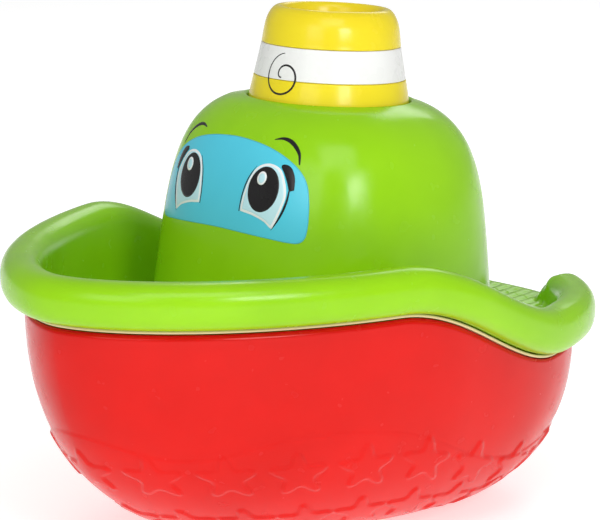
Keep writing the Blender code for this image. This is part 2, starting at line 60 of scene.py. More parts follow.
# %% Sizes of the boat
MM = 0.001
BOW_X, STERN_X, WIDEST_X = 97.1, -96.2, -7.3
HALF_BEAM = 70.8
BOW_FULLNESS, STERN_FULLNESS = 1.71, 2.67
RIM_HALF_WIDTH = 6.3
RIM_TOP_BOW = 93.0
SHEER_DROP, SHEER_START_X, SHEER_LENGTH = 23.8, 20.0, 72.0
RIM_HEIGHT_BOW, RIM_HEIGHT_STERN = 14.0, 14.6
SILL_DROP, SILL_UNDERSIDE_DROP = 10.6, 2.0
WALL = 2.0
CABIN_X, CABIN_HALF_LENGTH, CABIN_HALF_WIDTH = -15.5, 50.0, 52.0
CABIN_BASE_Z, CABIN_TOP_Z = 60.0, 133.1
CABIN_FRONT_DRAFT, CABIN_AFT_DRAFT, CABIN_SIDE_DRAFT = 0.244, 0.018, 0.144
CABIN_POWER = 2.4
ROOF_LEVEL = 0.9584
PUMP_X = -11.1
PUMP_LEAN = math.radians(3.6)
ROOF_H = 131.0
print("funnel leans aft by", round(math.degrees(PUMP_LEAN), 1), "degrees")


# %% [markdown]
# ## From numbers to a mesh
# Every new piece is a grid of points: rows one way, columns the other. A grid can close on itself
# in either direction, which makes a ring or a tube with no seam. Points that land on one spot, at
# the middle of a disc or the tip of a stroke, are merged, and the enclosed volume says whether the
# faces look outward. That test is one sum over triangles, so it costs nothing.

# %% Helpers that build meshes
def smooth_step(value):
    """0 below 0, 1 above 1, and 3v^2 - 2v^3 between them."""
    held = np.clip(value, 0.0, 1.0)
    return held * held * (3.0 - 2.0 * held)


def signed_power(value, power):
    """|value|^power with the sign of value, the building block of a superellipse."""
    return np.sign(value) * np.abs(value) ** power


def unit(vectors):
    """Each vector divided by its length."""
    return vectors / np.maximum(np.linalg.norm(vectors, axis=-1, keepdims=True), 1e-12)


def grid_faces(rows, columns, wrap_rows, wrap_columns):
    """Four corners of each cell of a grid; the last row or column joins the first on request."""
    number = np.arange(rows * columns).reshape(rows, columns)
    if wrap_rows:
        number = np.vstack([number, number[:1]])
    if wrap_columns:
        number = np.hstack([number, number[:, :1]])
    corners = [number[:-1, :-1], number[:-1, 1:], number[1:, 1:], number[1:, :-1]]
    return np.stack(corners, axis=-1).reshape(-1, 4)


def enclosed_volume(points, faces):
    """Sum over triangles of a.(b x c)/6, positive when the faces look outward."""
    total = 0.0
    for first, second in ((1, 2), (2, 3)):
        a, b, c = points[faces[:, 0]], points[faces[:, first]], points[faces[:, second]]
        total += float(np.sum(a * np.cross(b, c)) / 6.0)
    return total


def piece(name, grid, wrap_rows, wrap_columns, body, material):
    """A grid of millimetre points becomes one closed mesh object that rides on a body."""
    points = grid.reshape(-1, 3) * MM
    faces = grid_faces(grid.shape[0], grid.shape[1], wrap_rows, wrap_columns)
    if enclosed_volume(points, faces) < 0.0:
        faces = faces[:, ::-1]
    mesh = bpy.data.meshes.new(name)
    mesh.vertices.add(len(points))
    mesh.vertices.foreach_set("co", points.ravel())
    mesh.loops.add(faces.size)
    mesh.loops.foreach_set("vertex_index", faces.ravel())
    mesh.polygons.add(len(faces))
    mesh.polygons.foreach_set("loop_start", np.arange(0, faces.size, 4))
    mesh.update(calc_edges=True)
    shape = bmesh.new()
    shape.from_mesh(mesh)
    bmesh.ops.remove_doubles(shape, verts=shape.verts, dist=2e-7)
    shape.to_mesh(mesh)
    shape.free()
    mesh.shade_smooth()
    mesh.materials.append(material)
    obj = bpy.data.objects.new(name, mesh)
    bpy.context.scene.collection.objects.link(obj)
    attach(obj, body)
    print(name, "faces", len(mesh.polygons))
    return obj


def grid_normals(grid):
    """Cross product of the step along a row (rows close on themselves) and the step to the next row."""
    along = np.roll(grid, -1, axis=1) - np.roll(grid, 1, axis=1)
    across = np.gradient(grid, axis=0)
    return unit(np.cross(along, across))


def with_wall(grid, wall, every):
    """A skin plus its inner face: every n-th row moved back along the normal, in reverse order."""
    inner = (grid - wall * grid_normals(grid))[::every]
    return np.concatenate([grid, inner[::-1]], axis=0)


print("a 3 by 4 ring has", len(grid_faces(3, 4, False, True)), "faces")

# %% [markdown]
# ## Finishes
# Injection-moulded toy plastic looks simple but isn't one flat colour. The pigment is a little
# uneven, light enters the wall and comes out softened, and the gloss wanders because the mould was
# polished by hand. So each finish mixes two close tints with a broad noise, lets roughness follow a
# finer one, and adds a very shallow ripple. Values that are the same all over sit on the shader's
# own sockets.


# %% Finish helper
def finish(
    name, tint, deep, rough=(0.16, 0.28), ripple=0.012, gloss=0.32, soft=0.0,
    soft_colour=(1.0, 0.5, 0.2), metal=0.0, scale=28.0,
):
    """Plastic, rubber or steel: two tints mixed by broad noise, roughness by finer noise, ripple as bump."""
    material = bpy.data.materials.new(name)
    material.use_nodes = True
    nodes, links = material.node_tree.nodes, material.node_tree.links
    shader = nodes["Principled BSDF"]
    place = nodes.new("ShaderNodeTexCoord")

    def noise(size, detail):
        node = nodes.new("ShaderNodeTexNoise")
        node.inputs["Scale"].default_value = size
        node.inputs["Detail"].default_value = detail
        links.new(place.outputs["Object"], node.inputs["Vector"])
        return node

    broad = noise(scale, 3.0)
    fine = noise(scale * 6.0, 2.0)
    mix = nodes.new("ShaderNodeMix")
    mix.data_type = "RGBA"
    mix.inputs["A"].default_value = (*deep, 1.0)
    mix.inputs["B"].default_value = (*tint, 1.0)
    spread = nodes.new("ShaderNodeMapRange")
    spread.inputs["From Min"].default_value = 0.35
    spread.inputs["From Max"].default_value = 0.62
    links.new(broad.outputs["Fac"], spread.inputs["Value"])
    links.new(spread.outputs["Result"], mix.inputs["Factor"])
    links.new(mix.outputs["Result"], shader.inputs["Base Color"])
    sheen = nodes.new("ShaderNodeMapRange")
    sheen.inputs["From Min"].default_value = 0.3
    sheen.inputs["From Max"].default_value = 0.7
    sheen.inputs["To Min"].default_value = rough[0]
    sheen.inputs["To Max"].default_value = rough[1]
    links.new(fine.outputs["Fac"], sheen.inputs["Value"])
    links.new(sheen.outputs["Result"], shader.inputs["Roughness"])
    bump = nodes.new("ShaderNodeBump")
    bump.inputs["Strength"].default_value = ripple
    bump.inputs["Distance"].default_value = 0.0006
    links.new(fine.outputs["Fac"], bump.inputs["Height"])
    links.new(bump.outputs["Normal"], shader.inputs["Normal"])
    shader.inputs["Metallic"].default_value = metal
    shader.inputs["IOR"].default_value = 1.49
    shader.inputs["Specular IOR Level"].default_value = gloss
    if soft > 0.0:
        shader.inputs["Subsurface Weight"].default_value = soft
        shader.inputs["Subsurface Radius"].default_value = soft_colour
        shader.inputs["Subsurface Scale"].default_value = 0.003
    return material


# %% The boat's finishes
LIME = finish(
    "lime_plastic", (0.300, 0.640, 0.006), (0.270, 0.590, 0.004),
    soft=0.12, soft_colour=(0.6, 1.0, 0.1),
)
RED = finish(
    "red_plastic", (0.700, 0.006, 0.003), (0.630, 0.005, 0.002),
    gloss=0.22, soft=0.06, soft_colour=(1.0, 0.1, 0.05),
)
YELLOW = finish(
    "yellow_plastic", (0.860, 0.700, 0.020), (0.820, 0.650, 0.016),
    soft=0.12, soft_colour=(1.0, 0.8, 0.1),
)
WHITE = finish(
    "white_plastic", (0.860, 0.860, 0.850), (0.820, 0.820, 0.810),
    rough=(0.22, 0.34), soft=0.08, soft_colour=(1.0, 1.0, 0.9),
)
# Pale cream for the strip under the rim: a painted highlight, the light catching the seam.
SEAM_HIGHLIGHT_CREAM = finish(
    "cream_painted_seam_highlight", (0.780, 0.640, 0.340), (0.700, 0.560, 0.290),
    rough=(0.42, 0.58), ripple=0.08,
)
BLACK_RUBBER = finish(
    "black_rubber", (0.030, 0.030, 0.033), (0.018, 0.018, 0.020),
    rough=(0.50, 0.66), ripple=0.10,
)
MILKY = finish(
    "milky_pump_plastic", (0.700, 0.720, 0.710), (0.640, 0.665, 0.660),
    rough=(0.34, 0.46), soft=0.2, soft_colour=(1.0, 1.0, 1.0),
)
STEEL = finish(
    "plain_steel", (0.620, 0.615, 0.600), (0.520, 0.515, 0.500),
    rough=(0.26, 0.40), ripple=0.06, metal=1.0,
)
SKY_INK = finish(
    "sky_blue_ink", (0.095, 0.620, 0.800), (0.080, 0.570, 0.760),
    rough=(0.18, 0.26), ripple=0.02,
)
DEEP_INK = finish(
    "deep_blue_ink", (0.070, 0.480, 0.640), (0.060, 0.440, 0.600),
    rough=(0.18, 0.26), ripple=0.01,
)
PALE_INK = finish(
    "pale_blue_ink", (0.560, 0.820, 0.900), (0.500, 0.780, 0.880),
    rough=(0.18, 0.26), ripple=0.02,
)
WHITE_INK = finish(
    "white_ink", (0.860, 0.880, 0.890), (0.820, 0.850, 0.870),
    rough=(0.18, 0.26), ripple=0.02,
)
BLACK_INK = finish(
    "black_ink", (0.010, 0.009, 0.010), (0.020, 0.018, 0.020),
    rough=(0.20, 0.30), ripple=0.02,
)
print("finishes:", len([material for material in bpy.data.materials if material.use_nodes]))

# %% [markdown]
# ## The rim line
# Hull, gasket and deck all hang from one line, the middle of the rim. In plan it is two half
# superellipses that meet at the widest section, pointed at the bow and full at the stern. Its
# height falls along an S-curve, the sheer, and sinks once more to a low sill between two horns at
# the stern. Everything near it is placed by a distance outside the line and a height.


# %% Rim line
def rim_plan(angle):
    """Superellipse: x = reach * |cos|^(2/n), y = half beam * |sin|^(2/n), n changes amidships."""
    fullness = np.where(np.cos(angle) > 0.0, BOW_FULLNESS, STERN_FULLNESS)
    reach = np.where(np.cos(angle) > 0.0, BOW_X - WIDEST_X, WIDEST_X - STERN_X)
    x = WIDEST_X + reach * signed_power(np.cos(angle), 2.0 / fullness)
    y = HALF_BEAM * signed_power(np.sin(angle), 2.0 / fullness)
    return x, y


def rim_angles(count, extra_at_stern=0.0):
    """Angles spaced evenly along the rim, closer together at the stern if extra_at_stern > 0."""
    angle = np.linspace(-math.pi, math.pi, 12001)
    x, y = rim_plan(angle)
    weight = 1.0 + extra_at_stern * smooth_step((-55.0 - 0.5 * (x[1:] + x[:-1])) / 14.0)
    steps = np.hypot(np.diff(x), np.diff(y)) * weight
    length = np.concatenate([[0.0], np.cumsum(steps)])
    return np.interp((np.arange(count) + 0.5) * length[-1] / count, length, angle)


class Rim:
    """Rim line at given angles: plan position, outward direction, heights and length along it."""

    def __init__(self, angle):
        self.angle = angle
        self.x, self.y = rim_plan(angle)
        ahead_x, ahead_y = rim_plan(angle + 1e-4)
        behind_x, behind_y = rim_plan(angle - 1e-4)
        step = np.hypot(ahead_x - behind_x, ahead_y - behind_y)
        self.out_x = (ahead_y - behind_y) / step
        self.out_y = -(ahead_x - behind_x) / step
        self.sheer = smooth_step((SHEER_START_X - self.x) / SHEER_LENGTH)
        sill = (self.x < WIDEST_X) * smooth_step((41.0 - np.abs(self.y)) / 14.0)
        low = RIM_TOP_BOW - SHEER_DROP * self.sheer
        height = RIM_HEIGHT_BOW + (RIM_HEIGHT_STERN - RIM_HEIGHT_BOW) * self.sheer
        self.top = low - SILL_DROP * sill
        self.bottom = low - height - SILL_UNDERSIDE_DROP * sill
        fine = np.linspace(-math.pi, math.pi, 12001)
        x, y = rim_plan(fine)
        length = np.concatenate([[0.0], np.cumsum(np.hypot(np.diff(x), np.diff(y)))])
        self.total = length[-1]
        self.from_bow = np.interp(angle, fine, length) - 0.5 * self.total

    def beside(self, offset, height):
        """Points offset mm outside the line at the given height."""
        x = self.x + offset * self.out_x
        y = self.y + offset * self.out_y
        return np.stack([x, y, height + 0.0 * x], axis=-1)


def pump_point(radius, height, angle):
    """Circle round the pump's axis, which leans aft through (PUMP_X, 0, 0)."""
    x = PUMP_X + radius * np.cos(angle) * math.cos(PUMP_LEAN) - height * math.sin(PUMP_LEAN)
    y = radius * np.sin(angle)
    z = radius * np.cos(angle) * math.sin(PUMP_LEAN) + height * math.cos(PUMP_LEAN)
    return np.stack([x + 0.0 * y, y + 0.0 * x, z + 0.0 * y], axis=-1)


print("rim length, mm:", round(Rim(rim_angles(8)).total, 1))

# %% [markdown]
# ## Hull
# The bowl's sections are the rim line shrunk towards a point over the keel, by a rounded bilge
# curve. Under a wavy waterline the lower skirt stands slightly proud and carries raised starfish
# in two rows. They are real relief: each point is pushed out along its normal by a height that is
# worked out from its distance to the nearest starfish. The rows of points are packed closely where
# the relief is and widely above it.


# %% Hull surface
KEEL_X = -22.8
STAR_HEIGHT = 0.55
SKIRT_HEIGHT = 0.35


def star_relief(across, along):
    """Plateau inside r(phi) = 6.5 (1 + 0.32 cos 5 phi + 0.07 cos 10 phi), one arm up, with a soft edge."""
    radius = np.hypot(across, along)
    turn = np.arctan2(across, along)
    edge = 6.5 * (1.0 + 0.32 * np.cos(5.0 * turn) + 0.07 * np.cos(10.0 * turn))
    return smooth_step((edge - radius) / 1.3 + 0.5)


def hull_share_rows():
    """Heights from keel to gunwale as shares, close together in the skirt and wide above it."""
    keel = [0.0, 0.0008, 0.004, 0.012, 0.026, 0.045, 0.066, 0.088]
    return np.concatenate([keel, np.linspace(0.11, 0.60, 84), np.linspace(0.62, 1.0, 15)])


def hull_skin(rim, share):
    """The line beside the rim, scaled about the keel by 0.22 + 0.78 (1 - (1 - z/top)^2.39)^(1/2.26)."""
    height = (rim.bottom - 1.7) * share
    full = 1.0 - (1.0 - height / rim.bottom) ** 2.39
    scale = 0.22 + 0.78 * full ** (1.0 / 2.26)
    skin = rim.beside(-0.75, height)
    skin[:, 0] = KEEL_X + (skin[:, 0] - KEEL_X) * scale
    skin[:, 1] = skin[:, 1] * scale
    return skin, scale


def hull_relief(rim, skin, scale, shares):
    """Proud skirt under the waterline plus two rows of starfish, in mm."""
    share = shares[:, None] + 0.0 * rim.x[None, :]
    steps = np.linalg.norm(np.diff(skin, axis=0), axis=-1)
    arc = np.concatenate([np.zeros((1, len(rim.x))), np.cumsum(steps, axis=0)])
    away = np.abs(rim.from_bow)
    phase = np.interp(away, [0.0, 37.0, 81.0, 142.0, 205.0, 268.0], np.pi * np.arange(6))
    wave = 0.53 - 0.10 * rim.sheer + (0.042 + 0.014 * rim.sheer) * np.cos(phase)
    relief = SKIRT_HEIGHT * smooth_step((wave[None, :] - share) / 0.016 + 0.5)
    pitch = rim.total / 22.0
    across = (rim.from_bow - pitch * np.round(rim.from_bow / pitch))[None, :] * scale
    for centre in (0.405 - 0.05 * rim.sheer, 0.175 + 0.0 * rim.sheer):
        row = np.searchsorted(shares, centre)[None, :]
        below, above = [np.take_along_axis(arc, index, axis=0)[0] for index in (row - 1, row)]
        part = (centre - shares[row[0] - 1]) / (shares[row[0]] - shares[row[0] - 1])
        middle = (below + (above - below) * part)[None, :]
        relief += STAR_HEIGHT * star_relief(across, arc - middle)
    return relief


# %% Make the hull
hull_rim = Rim(rim_angles(760))
hull_shares = hull_share_rows()
levels = [hull_skin(hull_rim, share) for share in hull_shares]
skin = np.array([level[0] for level in levels])
scales = np.array([level[1] for level in levels])
relief = hull_relief(hull_rim, skin, scales, hull_shares)
skin += grid_normals(skin) * (relief * smooth_step(hull_shares / 0.09)[:, None])[..., None]
mouth = pump_point(8.0, 0.0, hull_rim.angle)
mouth[:, 2] = 0.0
spigot = np.array([pump_point(8.0, 16.0, hull_rim.angle), pump_point(8.0, 2.0, hull_rim.angle), mouth])
hull_grid = with_wall(np.concatenate([spigot, skin]), 2.2, 9)
hull = piece("hull_bowl", hull_grid, True, True, "boat", RED)
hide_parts("hull")
print("relief up to", round(float(relief.max()), 2), "mm")

# %% [markdown]
# ## Gasket and painted seam highlight
# A thin strip is nipped between the hull and the deck. Its pale cream colour is a painted highlight,
# the light that catches the seam, and shows as a pale line under the rim. Its section is a small
# rounded bar carried round the rim line.

# %% Make the gasket
gasket_rim = Rim(rim_angles(360))
turns = np.radians(np.arange(0.0, 360.0, 22.5))
rows = []
for turn in turns:
    side = -1.70 + 1.45 * float(signed_power(math.cos(turn), 0.6))
    level = gasket_rim.bottom - 0.85 + 0.56 * float(signed_power(math.sin(turn), 0.6))
    rows.append(gasket_rim.beside(side, level))
# The strip's cream colour is a painted highlight along the seam under the rim.
gasket = piece("gasket_strip_painted_highlight", np.array(rows), True, True, "boat", SEAM_HIGHLIGHT_CREAM)
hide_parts("rim_gasket")

# %% [markdown]
# ## Deck and cabin
# The deck is one moulding: a fat rounded rim, a deep well with drafted walls, a floor that climbs
# to a planked deck behind the cabin, and the cabin itself with its domed roof and the collar that
# guides the funnel. It is therefore one surface too, walked from the rim's underside over the rim,
# down the well, across the floor, up the cabin and down into the collar. The planks are rounded
# crests that run fore and aft, out over the low sill, which is why its edge looks scalloped.


# %% Deck surface
def deck_floor(x):
    """51 mm in the well, rising 7.2 mm along an S-curve to the aft deck."""
    return 51.0 + 7.2 * smooth_step((-22.8 - x) / 42.0)


def rim_tube(rim, degrees):
    """Rounded rim section: offset 6.3 |cos|^0.85 and half height |sin|^0.85 about its middle."""
    turn = math.radians(degrees)
    half = 0.5 * (rim.top - rim.bottom)
    offset = RIM_HALF_WIDTH * float(signed_power(math.cos(turn), 0.85))
    height = 0.5 * (rim.top + rim.bottom) + half * float(signed_power(math.sin(turn), 0.85))
    if degrees > 90.0:
        height = np.maximum(height, deck_floor(rim.x) + 0.2)
    return rim.beside(offset, height)


def well_wall(rim, turn):
    """Wall that leans in by 0.14 of its depth and rounds into the floor along a superellipse of power 3.5."""
    floor = deck_floor(rim.x)
    drop = np.maximum(rim_tube(rim, 180.0)[:, 2] - floor, 0.0)
    reach = 3.0 + 0.14 * drop
    offset = -RIM_HALF_WIDTH - reach * (1.0 - math.cos(turn) ** (2.0 / 3.5))
    return rim.beside(offset, floor + drop * (1.0 - math.sin(turn) ** (2.0 / 3.5)))


def cabin_shape(level, cosine):
    """Half length and half width: each shrinks as 1 - d level, times (1 - level^5.3)^(1/3.74)."""
    ahead = 0.5 * (1.0 + np.tanh(3.0 * cosine))
    draft = 1.0 - (CABIN_AFT_DRAFT + (CABIN_FRONT_DRAFT - CABIN_AFT_DRAFT) * ahead) * level
    dome = (1.0 - np.clip(level, 0.0, 0.999) ** 5.3) ** (1.0 / 3.74)
    return CABIN_HALF_LENGTH * draft * dome, CABIN_HALF_WIDTH * (1.0 - CABIN_SIDE_DRAFT * level) * dome


def cabin_point(level, angle):
    """Superellipse of power 2.4 with more draft ahead than aft, tilted to meet the leaning funnel."""
    half_x, half_y = cabin_shape(level, np.cos(angle))
    x = half_x * signed_power(np.cos(angle), 2.0 / CABIN_POWER)
    y = half_y * signed_power(np.sin(angle), 2.0 / CABIN_POWER)
    z = CABIN_BASE_Z + (CABIN_TOP_Z - CABIN_BASE_Z) * level
    return np.stack([CABIN_X + x, y, z + smooth_step(level) * math.tan(PUMP_LEAN) * x], axis=-1)


def plank_height(x, y):
    """Rounded planks 4.6 mm wide, |cos| to the power 0.7, only behind the cabin and between the horns."""
    crest = np.abs(np.cos(math.pi * y / 4.6)) ** 0.7
    region = smooth_step((-57.0 - x) / 8.0) * smooth_step((38.5 - np.abs(y)) / 3.0)
    return 0.9 * (crest - 0.15) * region


# %% Make the deck
deck_rim = Rim(rim_angles(460, extra_at_stern=2.2))
rows = [rim_tube(deck_rim, degrees) for degrees in np.linspace(-110.0, 180.0, 42)]
wall_degrees = (6, 14, 24, 34, 44, 53, 61, 68, 74, 79, 83, 86.5, 90)
rows += [well_wall(deck_rim, math.radians(degrees)) for degrees in wall_degrees]
foot_level = (51.0 - CABIN_BASE_Z) / (CABIN_TOP_Z - CABIN_BASE_Z)
foot = cabin_point(foot_level, deck_rim.angle)
foot[:, 2] = deck_floor(foot[:, 0])
edge = rows[-1]
for share in np.linspace(0.0, 1.0, 24)[1:]:
    line = edge + (foot - edge) * share
    line[:, 2] = deck_floor(line[:, 0])
    rows.append(line)
planked = np.array(rows)
lift = plank_height(planked[..., 0], planked[..., 1])
on_rim = smooth_step((np.arange(len(rows)) - 24.0) / 6.0)
planked[..., 2] += lift * on_rim[:, None]
cabin_levels = np.concatenate([np.linspace(-0.10, 0.76, 26), np.linspace(0.785, ROOF_LEVEL, 16)])
cabin_rows = [cabin_point(level, deck_rim.angle) for level in cabin_levels]
floor_here = deck_floor(foot[:, 0]) + 0.05
for row in cabin_rows:
    row[:, 2] = np.maximum(row[:, 2], floor_here)
collar = [
    (27.4, 130.65), (26.8, 130.98), (26.3, 131.02), (25.9, 130.85), (25.65, 130.5), (25.5, 129.8),
    (25.5, 118.0), (25.5, 105.0),
]
collar_rows = [pump_point(radius, height, deck_rim.angle) for radius, height in collar]
deck_grid = np.concatenate([planked, np.array(cabin_rows), np.array(collar_rows)])
deck = piece("deck_and_cabin", with_wall(deck_grid, WALL, 7), True, True, "boat", LIME)
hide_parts("deck")
print("deck grid", deck_grid.shape[:2])

# %% [markdown]
# ## Funnel
# The funnel is a turned shape: one profile, spun round the leaning pump axis. Its lip is fat and
# round, a fingertip rests in the dish, and a white band lies flush in a shallow groove. The rough
# profile has a corner for each change of slope, and cutting the corners three times rounds them.


# %% Turned pieces
def round_corners(profile, times=3):
    """Corner cutting on a closed profile: each side keeps its points at one quarter and three quarters."""
    points = np.array(profile, dtype=float)
    for _ in range(times):
        after = np.roll(points, -1, axis=0)
        points = np.stack([0.75 * points + 0.25 * after, 0.25 * points + 0.75 * after], axis=1).reshape(-1, 2)
    return points


def turned(name, profile, body, material, steps=180, times=3):
    """A closed (radius, height) profile carried round the pump axis."""
    section = round_corners(profile, times)
    angle = np.linspace(-math.pi, math.pi, steps, endpoint=False)
    grid = pump_point(section[:, 0][:, None], section[:, 1][:, None], angle[None, :])
    return piece(name, grid, True, True, body, material)


def funnel_radius(height):
    """25 mm at the roof, 20 mm at the top of the cone, straight between."""
    return 25.0 - 5.0 * (height - ROOF_H) / 25.5


# %% Make the funnel, its band and the nozzle
band_low, band_high = 137.4, 147.6
funnel_profile = [
    (25.0, 121.3), (25.0, 121.9), (25.0, 130.6), (24.9, 131.6), (23.9, 136.7),
    (funnel_radius(band_low) + 0.02, band_low), (funnel_radius(band_low) - 0.9, band_low),
    (funnel_radius(band_high) - 0.9, band_high), (funnel_radius(band_high) + 0.02, band_high),
    (21.6, 148.4), (21.3, 151.0), (20.7, 154.6), (19.2, 157.7), (17.3, 159.2), (15.6, 158.5),
    (15.0, 156.4), (14.7, 153.6), (13.4, 151.3), (10.5, 151.0), (4.5, 151.0), (4.3, 150.6),
    (4.3, 136.0), (6.3, 136.0), (6.3, 149.0), (18.0, 149.0), (22.6, 131.0), (22.6, 121.3),
]
funnel = turned("funnel_shell", funnel_profile, "plunger", YELLOW)
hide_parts("funnel")
band_profile = [
    (funnel_radius(147.45) - 0.05, 147.45), (funnel_radius(147.0), 147.0), (funnel_radius(138.0), 138.0),
    (funnel_radius(137.55) - 0.05, 137.55), (22.9, 137.55), (21.0, 147.45),
]
band = turned("funnel_white_band", band_profile, "plunger", WHITE, times=2)
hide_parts("funnel_band")
nozzle_profile = [
    (1.0, 153.3), (1.3, 153.6), (2.0, 153.5), (3.0, 152.6), (4.4, 152.3), (5.8, 152.1), (5.9, 151.4),
    (4.1, 151.3), (4.0, 149.5), (3.0, 149.5), (1.0, 151.0),
]
nozzle = turned("jet_nozzle", nozzle_profile, "plunger", WHITE, steps=72, times=2)
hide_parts("nozzle")

# %% [markdown]
# ## Printed face
# The windscreen, the eyes and the brows are ink on the curved cabin front. Ink could be painted
# into the deck's material, but separate thin skins keep crisp edges in every view. Each is drawn
# flat, sideways distance against height, and then laid on the cabin: for a given y and level the
# superellipse gives x, and the skin is lifted along the surface normal by a few hundredths of a
# millimetre. The face is a plain one, two ovals that look ahead.


# %% Laying flat drawings on the cabin
def cabin_front(y, z):
    """Surface point of the cabin front at sideways place y and height z.

    The level is found by repeating level = (z - base - tilt * x) / height, which settles in a few rounds.
    """
    level = (z - CABIN_BASE_Z) / (CABIN_TOP_Z - CABIN_BASE_Z)
    cosine = 1.0
    for _ in range(10):
        half_x, half_y = cabin_shape(level, cosine)
        sine = np.clip(np.abs(y) / half_y, 0.0, 1.0) ** (0.5 * CABIN_POWER)
        cosine = np.sqrt(1.0 - sine * sine)
        x = half_x * cosine ** (2.0 / CABIN_POWER)
        tilt = smooth_step(level) * math.tan(PUMP_LEAN) * x
        level = (z - CABIN_BASE_Z - tilt) / (CABIN_TOP_Z - CABIN_BASE_Z)
    return np.stack([CABIN_X + x, y, z], axis=-1)


def face_front(y, z):
    """The cabin front with the print's small shift: 2 mm to starboard and 0.7 mm down."""
    return cabin_front(y - 2.0, z - 0.7)


def laid_on(place, flat, lift):
    """Flat (u, v) points on the surface, moved out by lift mm along the normal."""
    u, v = flat[..., 0], flat[..., 1]
    step = 0.05
    sideways = place(u + step, v) - place(u - step, v)
    upwards = place(u, v + step) - place(u, v - step)
    normal = unit(np.cross(sideways, upwards))
    return place(u, v) + normal * lift[..., None]


def catmull_rom(before, here, after, beyond, t):
    """Half of 2b + (c - a)t + (2a - 5b + 4c - d)t^2 + (3b - a - 3c + d)t^3 for points a, b, c, d."""
    square = 2 * before - 5 * here + 4 * after - beyond
    cube = 3 * here - before - 3 * after + beyond
    return 0.5 * (2 * here + (after - before) * t + square * t**2 + cube * t**3)


def smooth_loop(corners, count):
    """Closed curve through a few corners, by the periodic Catmull-Rom formula."""
    knots = np.array(corners, dtype=float)
    where = np.arange(count) * len(knots) / count
    index = where.astype(int)
    t = (where - index)[:, None]
    around = [knots[(index + shift) % len(knots)] for shift in (-1, 0, 1, 2)]
    before, here, after, beyond = around
    return catmull_rom(before, here, after, beyond, t)


def smooth_path(knots, count):
    """Open curve through points, by the same formula with its ends repeated."""
    points = np.array(knots, dtype=float)
    padded = np.concatenate([points[:1], points, points[-1:]])
    where = np.linspace(0.0, len(points) - 1.000001, count)
    index = where.astype(int)
    t = (where - index)[:, None]
    last = len(padded) - 1
    around = [padded[np.minimum(index + shift, last)] for shift in (0, 1, 2, 3)]
    before, here, after, beyond = around
    return catmull_rom(before, here, after, beyond, t)


def ink_patch(name, outline, lift, material, rings=14):
    """A filled shape: rings shrink to the middle, above at the full lift, below just under the skin."""
    middle = outline.mean(axis=0)
    share = np.concatenate([np.linspace(0.0, 0.985, rings), [1.0, 1.0], np.linspace(0.985, 0.0, rings)])
    height = np.concatenate([np.full(rings, lift), [0.55 * lift, -0.03], np.full(rings, -0.05)])
    flat = middle + share[:, None, None] * (outline[None, :, :] - middle)
    grid = laid_on(face_front, flat, height[:, None] + 0.0 * flat[..., 0])
    return piece(name, grid, False, True, "boat", material)


def ink_stroke(
    name, path, widths, lift, material, place=face_front, body="boat", closed=False
):
    """A drawn line: a flat oval section of the given half widths carried along the path."""
    if closed:
        ahead = np.roll(path, -1, axis=0) - np.roll(path, 1, axis=0)
    else:
        ahead = np.gradient(path, axis=0)
    side = np.stack([-ahead[:, 1], ahead[:, 0]], axis=-1)
    side = side / np.maximum(np.linalg.norm(side, axis=-1, keepdims=True), 1e-9)
    turn = np.radians(np.arange(0.0, 360.0, 30.0))
    flat = path[None, :, :] + np.cos(turn)[:, None, None] * (widths[:, None] * side)[None, :, :]
    bulge = np.where(np.sin(turn) > 0.0, lift, 0.05) * np.sin(turn)
    height = bulge[:, None] + 0.0 * flat[..., 0]
    grid = laid_on(place, flat, height)
    return piece(name, grid.transpose(1, 0, 2), closed, True, body, material)


def taper(count, widest, start, end):
    """Half widths that swell from start to widest and shrink to end along a half sine."""
    share = np.linspace(0.0, 1.0, count)
    ends = start + (end - start) * share
    return np.maximum(ends + (widest - ends) * np.sin(math.pi * share) ** 0.8, 0.0)


# %% Windscreen
def windscreen_outline(count=260):
    """Arched top, nearly straight bottom and rounded corners, symmetric about the middle plane."""
    half = [
        (0.0, 123.6), (8.0, 123.1), (15.0, 121.8), (21.0, 119.6), (26.0, 116.5), (29.2, 112.6),
        (30.8, 107.5), (31.5, 102.5), (31.6, 99.0), (31.2, 96.7), (29.8, 95.5), (27.0, 95.4),
        (20.0, 96.1), (10.0, 96.8), (0.0, 97.1),
    ]
    other = [(-y, z) for y, z in half[-2:0:-1]]
    return smooth_loop(half + other, count)


outline = windscreen_outline()
ink_patch("windscreen_print", outline, 0.06, SKY_INK, rings=22)
edge_widths = np.full(len(outline), 0.14)
ink_stroke("windscreen_edge", outline, edge_widths, 0.07, DEEP_INK, closed=True)


